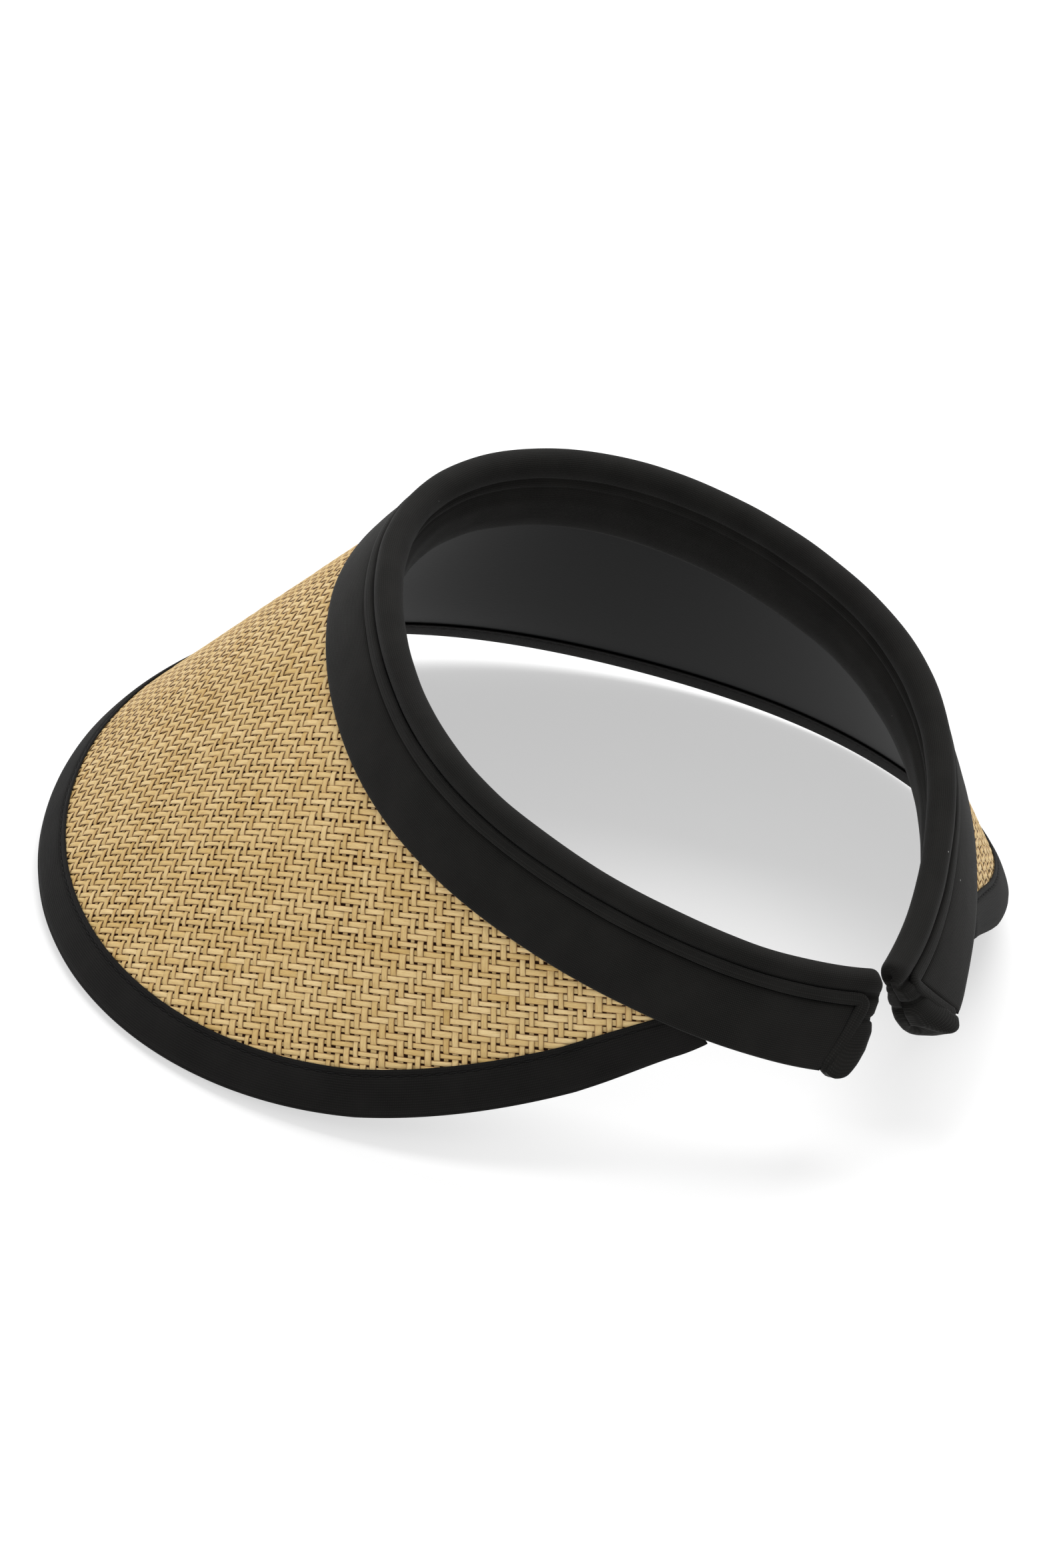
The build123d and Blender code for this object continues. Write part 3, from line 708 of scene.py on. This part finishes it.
def thread_row(name, centres, normals, length, thick):
    """Short rounded stitches lying along a row of points, each dipping into the cloth at its ends."""
    ring = 6
    verts, faces = [], []
    angle = np.arange(ring) * 2 * pi / ring
    for a, b, up in zip(centres[:-1], centres[1:], normals[:-1]):
        go = unit(b - a)
        side = unit(np.cross(go, up))
        top = np.cross(side, go)
        base = len(verts) * ring
        for k, (q, lift, size) in enumerate(STITCH_SHAPE):
            here = a + go * (q * length) + top * (lift * thick)
            circle = here + (np.cos(angle)[:, None] * side + np.sin(angle)[:, None] * top) * thick * size
            verts.append(circle)
            if k:
                now = base + k * ring
                i = np.arange(ring)
                j = (i + 1) % ring
                faces.append(np.stack([now - ring + i, now - ring + j, now + j, now + i], -1))
    verts = np.concatenate(verts)
    o = new_object(name, verts, np.concatenate(faces))
    o.data.materials.append(THREAD)
    return o


def binding_stitches():
    """The row of stitches along the binding's inner edge."""
    at, spot, inward, width = binding_lines()
    wanted = np.arange(14.0, at[-1] - 14.0, STITCH_PITCH)
    pick = np.clip(np.searchsorted(at, wanted), 0, len(at) - 1)
    flat = spot[pick] + inward[pick] * (width[pick] * STITCH_LINE)[:, None]
    place, square, _, _ = FLAT.sample(flat)
    ok = np.isfinite(place).all(-1)
    place, square = place[ok] + square[ok] * THREAD_LEVEL, square[ok]
    o = thread_row("binding_thread", place, square, STITCH_LENGTH, THREAD_RADIUS)
    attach(o, "visor_front")
    return o


# ---- headband ---------------------------------------------------------------------------------
# section of the padded cover as (out of the panel, down from the welt seam): first the roll along
# the top, then the crease below it, the inner face and the back
PAD_FRONT = [
    (-0.9, -1.5), (0.6, -2.4), (1.35, -3.6), (1.6, -4.9), (1.15, -6.4), (-0.1, -7.75), (-1.7, -8.4),
    (-3.3, -8.35), (-4.9, -7.7), (-6.1, -6.5), (-6.75, -5.0), (-6.8, -3.6), (-6.3, -2.2), (-7.0, -1.9),
    (-7.7, -1.5), (-8.1, -0.9), (-8.15, -0.4), (-7.95, -0.1), (-8.6, 0.2), (-9.9, 1.4), (-11.3, 2.8),
    (-12.5, 5.2), (-13.5, 7.6), (-14.1, 9.4), (-14.5, 11.8), (-14.4, 13.6), (-13.6, 15.4), (-12.0, 16.6),
    (-9.6, 17.3), (-6.6, 17.6), (-4.6, 17.4), (-3.0, 16.4), (-2.5, 12.0), (-2.5, 6.0), (-2.4, 1.5),
]
# the same section where no brim hangs from it: these points of it lie lower
PAD_BOTTOM_ARM = {28: (-9.0, 17.8), 29: (-6.2, 18.8), 30: (-3.8, 19.2), 31: (-2.3, 18.8)}
PAD_MIDDLE = np.array([[-2.8, -4.2], [-6.6, 12.0]])      # line through the middle of the section
# the rounded end: place of the crease across it, and (down from the welt seam, length) all the way down
LOBE_CREASE = 5.5
LOBE_LENGTH = ((-8.4, 3.4), (-5.0, 5.0), (-1.0, 6.0), (4.2, 6.1), (5.5, 5.0), (6.6, 6.4), (9.0, 7.2),
               (13.0, 7.2), (17.0, 6.4), (19.3, 5.6))
LOBE_SWELL = 3.0
LOBE_DROOP = 2.0
PAD_SPACING = 0.62      # between the vertices of the section


def tilt_at(phi, most):
    """Sections lean over towards the slanted end."""
    return most * ease((np.abs(phi) - HINGE) / (END - HINGE))


# millimetres along the headband for one radian round it, at the free ends
END_SPEED = float(np.linalg.norm(plan(np.array(END + NUDGE)) - plan(np.array(END - NUDGE))) / (2 * NUDGE))


def loop_family():
    """The pad's outline with the brim behind it, and on the free ends, with matching points."""
    front = np.array(PAD_FRONT)
    arm = np.array([PAD_BOTTOM_ARM.get(i, p) for i, p in enumerate(PAD_FRONT)])
    counts = [max(1, int(round(np.linalg.norm(front[(i + 1) % len(front)] - p) / PAD_SPACING)))
              for i, p in enumerate(front)]
    if sum(counts) % 2:
        counts[-1] += 1
    refined = []
    for shape in (front, arm):
        dense = []
        n = len(shape)
        for i in range(n):
            a, b, c, d = shape[i - 1], shape[i], shape[(i + 1) % n], shape[(i + 2) % n]
            for q in range(counts[i]):
                t = q / counts[i]
                dense.append(0.5 * ((2 * b) + (c - a) * t + (2 * a - 5 * b + 4 * c - d) * t * t
                                    + (3 * b - a - 3 * c + d) * t ** 3))
        refined.append(np.array(dense))
    return refined


def core(points):
    """Nearest point on the line through the middle of the pad's section."""
    axis = PAD_MIDDLE[1] - PAD_MIDDLE[0]
    q = np.clip(((points - PAD_MIDDLE[0]) @ axis) / (axis @ axis), 0, 1)
    return PAD_MIDDLE[0] + q[..., None] * axis


def pad(side):
    """One half of the padded inner cover: roll, crease, inner face, and the rounded end."""
    front, arm = loop_family()
    around = ring_length(front)
    phi = np.concatenate([np.linspace(0, END * 0.86, 190), np.linspace(END * 0.86, END, 60)[1:]])
    blend_arm = ease((phi - WING + 0.03) / 0.06)[:, None, None]
    shape = front * (1 - blend_arm) + arm * blend_arm
    shape = np.stack([slim(phi[:, None], shape[..., 0]), shape[..., 1]], -1)
    last = shape[-1]
    s = last[:, 1]
    lobe = np.interp(s, *zip(*LOBE_LENGTH))
    angle = pi / 2 * np.append(np.arange(1, 17) / 16.3, 1.0)
    shrink = np.append(np.cos(angle[:-1]) ** 0.55, 0.03)[:, None, None]
    extra = np.concatenate([np.zeros(shape.shape[:2]), lobe[None] * (np.sin(angle) ** 0.8)[:, None]])
    whole = np.concatenate([shape, np.repeat(last[None], len(angle), 0)])
    phi = np.concatenate([phi, np.full(len(angle), END)])
    tilt = tilt_at(phi, COVER_TILT)

    # beyond the panel's end seam the outside of the pad swells out, with a crease across it
    past = (phi - END)[:, None] * END_SPEED + extra
    past = past + (np.tan(tilt_at(phi, END_TILT)) - np.tan(tilt))[:, None] * whole[..., 1]
    swell = ease((past - 0.2) / 1.8) * ease((whole[..., 0] + 4.6) / 1.6) * ease((whole[..., 1] + 1.0) / 2.0)
    fold = 0.9 * np.exp(-((whole[..., 1] - LOBE_CREASE) / 0.7) ** 2) * ease((past - 2.0) / 2.0)
    whole[..., 0] += swell * (LOBE_SWELL - fold)
    whole[..., 1] += LOBE_DROOP * ease((past - 0.5) / 4) * ease((whole[..., 1] - 8) / 10)

    arc = side * ((phi * MEAN_RADIUS)[:, None] + extra)
    puff = 0.10 * wobble(arc, around[None] * 0.6, 31, 11.0) + 0.05 * wobble(arc, around[None] * 1.5, 32, 3.5)
    middle = core(whole)
    whole = whole + unit(whole - middle) * puff[..., None]
    whole[-len(angle):] = middle[-len(angle):] + (whole - middle)[-len(angle):] * shrink

    verts = band(side * (phi[:, None] + extra / END_SPEED), whole[..., 0], whole[..., 1], tilt[:, None])
    uv = np.stack(np.broadcast_arrays(arc, around), -1)
    o = tube("padded_cover_" + word_for(side), verts, uv, KNIT, flip=side > 0, crisp=True)
    return o


# section of the outer panel as (out of the panel, down from the welt seam)
PANEL_SECTION = [
    (-1.2, 1.55), (-0.35, 1.75), (0.12, 2.3), (0.38, 4.0), (0.55, 7.0), (0.6, 10.0), (0.52, 13.0),
    (0.34, 16.0), (0.1, 18.3), (-0.15, 19.25), (-0.6, 19.65), (-1.05, 19.3), (-1.15, 17.0), (-1.0, 10.0),
    (-1.1, 4.0),
]
SEAM_BOW = 0.4          # the slanted end seam bows outwards by this much


def panel(side):
    """One half of the outer panel: a stretched strip of jersey turned in at its edges."""
    section = even(fine_loop(PANEL_SECTION, 0.7))
    phi = np.concatenate([np.linspace(0, END * 0.9, 200), np.linspace(END * 0.9, END, 56)[1:]])
    left = (END - phi)[:, None] * END_SPEED
    arc = side * (phi * MEAN_RADIUS)[:, None]
    t = np.repeat(section[None, :, 0], len(phi), 0)
    s = np.repeat(section[None, :, 1], len(phi), 0)
    outer = (section[:, 0] > -0.3)[None]
    t = t + outer * (0.09 * wobble(arc, s * 0.8, 41, 12.0) + 0.03 * wobble(arc, s * 2, 42, 3.0))
    t = t - outer * ease(1 - left / 1.3) ** 2 * 0.9
    bow = SEAM_BOW * np.sin(pi * np.clip(s / PANEL_HEIGHT, 0, 1)) * ease(1 - left / 16)
    verts = band(side * (phi[:, None] + bow / END_SPEED), t, s, tilt_at(phi, END_TILT)[:, None])
    uv = np.stack(np.broadcast_arrays(arc, ring_length(section)), -1)
    o = tube("outer_panel_cloth_" + word_for(side), verts, uv, KNIT, flip=side < 0, crisp=True)
    return o


def welt_path(side):
    """(phi, s) along the seam, round the corner at the free end and down the slanted seam."""
    corner, beyond = 2.6, 1.55

    def slanted(s):
        return END * END_SPEED + beyond - np.tan(END_TILT) * s + SEAM_BOW * np.sin(pi * s / PANEL_HEIGHT)

    turn = slanted(0.0)
    points = [(x, 0.0) for x in np.linspace(0, turn - corner, 300)]
    for q in np.arange(1, 9) / 9:
        points.append(((1 - q) ** 2 * (turn - corner) + 2 * q * (1 - q) * turn + q * q * slanted(corner),
                       q * q * corner))
    for s in np.linspace(corner, PANEL_HEIGHT + 0.6, 28):
        points.append((slanted(s) + 0.5 * max(s - 17.5, 0.0), s))
    p = np.array(points)
    p[:, 0] *= side / END_SPEED
    return p


WELT_RISE = 0.28        # of the middle of the folded strip above the seam
WELT_HALF_WIDTH = 1.68
WELT_HALF_THICKNESS = 0.92


def welt(side):
    """Half of the folded strip in the upper seam and down the end seam."""
    path = welt_path(side)
    phi, s = path[:, 0], path[:, 1]
    arc = side * (np.abs(phi) * MEAN_RADIUS + s)
    rise = WELT_RISE + 0.05 * wobble(arc, 0.0, 51, 6.0) - 0.3 * ease(s / 5) - 1.9 * ease((s - 17.5) / 4.5)
    centre = band(phi, rise, s)
    travel = unit(np.gradient(centre, axis=0))
    out = band_axes(phi)[1]
    out = unit(out - travel * (out * travel).sum(-1, keepdims=True))
    across = np.cross(travel, out)
    count = 20
    a = np.arange(count) * 2 * pi / count
    half = WELT_HALF_WIDTH + 0.05 * wobble(arc, 0.0, 52, 4.0)
    ct = np.sign(np.cos(a)) * np.abs(np.cos(a)) ** 0.62
    st = np.sign(np.sin(a)) * np.abs(np.sin(a)) ** 0.8
    end = np.sqrt(np.clip((len(path) - np.arange(len(path))) / 5.0, 0.05, 1))
    verts = (centre[:, None] + out[:, None] * (WELT_HALF_THICKNESS * end[:, None] * ct)[..., None]
             + across[:, None] * (half * end)[:, None, None] * st[None, :, None])
    uv = np.stack(np.broadcast_arrays(arc[:, None], a * 1.3), -1)
    return tube("welt_strip_" + word_for(side), verts, uv, WELT, crisp=True)


def bend_with_end(obj):
    """Bake the cloth's placement into its vertices; it does not bend across the hinge line."""
    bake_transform(obj)


# ---- build ------------------------------------------------------------------------------------
lengthwise = strips("straw_lengthwise", True, STRAW_A)
crosswise = strips("straw_crosswise", False, STRAW_B)
backing = brim_sheet("straw_backing", BACKING_LEVELS, BACKING_TRIM, BACKING, "straw",
                     with_pieces=lengthwise + crosswise)
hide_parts("brim_straw", "brim_board")
lining = brim_sheet("brim_lining_cloth", LINING_LEVELS, LINING_TRIM, LINING, "lining")
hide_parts("brim_lining")
tape = binding()
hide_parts("brim_binding")
stitches = binding_stitches()
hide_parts("binding_stitches")
for side in (1, -1):
    word = word_for(side)
    cover = pad(side)
    cloth_panel = panel(side)
    strip = welt(side)
    for piece in (cover, cloth_panel, strip):
        bend_with_end(piece)
    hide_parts("inner_cover_front", "inner_cover_" + word, "foam_pad_front", "foam_pad_" + word,
                "end_lobe_" + word, "spring_strip_front", "spring_strip_" + word)
    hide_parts("outer_panel_front", "outer_panel_" + word)
    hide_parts("welt_front", "welt_" + word)

# ---- floor, lights, camera --------------------------------------------------------------------
FLOOR_REACH = 3.0
FLOOR_LEVEL = -0.0006
floor_mesh = bpy.data.meshes.new("floor")
floor_corners = [(x * FLOOR_REACH, y * FLOOR_REACH, 0) for x, y in ((-1, -1), (1, -1), (1, 1), (-1, 1))]
floor_mesh.from_pydata(floor_corners, [], [(0, 1, 2, 3)])
floor = bpy.data.objects.new("floor", floor_mesh)
floor_material, _, floor_shader = material("pale_floor")
for socket, value in (("Base Color", (0.48, 0.48, 0.48, 1)), ("Roughness", 0.9), ("Specular IOR Level", 0.0),
                      ("Emission Color", (1, 1, 1, 1)), ("Emission Strength", 0.52)):
    floor_shader.inputs[socket].default_value = value
floor.data.materials.append(floor_material)
floor.location.z = FLOOR_LEVEL
bpy.context.scene.collection.objects.link(floor)
LIGHT_TARGET = Vector((0, 0, 0.05))


def area_light(name, place, size, power):
    """Square soft light aimed at the middle of the visor."""
    data = bpy.data.lights.new(name, "AREA")
    data.shape = "SQUARE"
    data.size = size
    data.energy = power
    o = bpy.data.objects.new(name, data)
    o.location = place
    o.rotation_euler = (LIGHT_TARGET - Vector(place)).to_track_quat("-Z", "Y").to_euler()
    bpy.context.scene.collection.objects.link(o)


area_light("key", (-0.5, -0.3, 1.5), size=1.4, power=26)
area_light("fill", (1.4, 0.2, 0.9), size=1.2, power=6)
world = bpy.data.worlds.new("studio")
world.use_nodes = True
world.node_tree.nodes["Background"].inputs[0].default_value = (1, 1, 1, 1)
world.node_tree.nodes["Background"].inputs[1].default_value = 0.55
bpy.context.scene.world = world
bpy.context.scene.view_settings.view_transform = "Standard"

CAMERA_PLACE = (0.79719, 0.90652, 0.71847)
CAMERA_BACK = Vector((0.57215, 0.65672, 0.49129)).normalized()       # away from what it looks at
CAMERA_UP = CAMERA_BACK.cross(Vector((-0.77525, 0.62853, 0.06267))).normalized()
camera_data = bpy.data.cameras.new("camera")
camera_data.lens = 112.24
camera_data.sensor_width = 36.0
camera = bpy.data.objects.new("camera", camera_data)
camera.matrix_world = Matrix.Translation(CAMERA_PLACE) @ Matrix(
    (CAMERA_UP.cross(CAMERA_BACK), CAMERA_UP, CAMERA_BACK)).transposed().to_4x4()
bpy.context.scene.collection.objects.link(camera)
bpy.context.scene.camera = camera
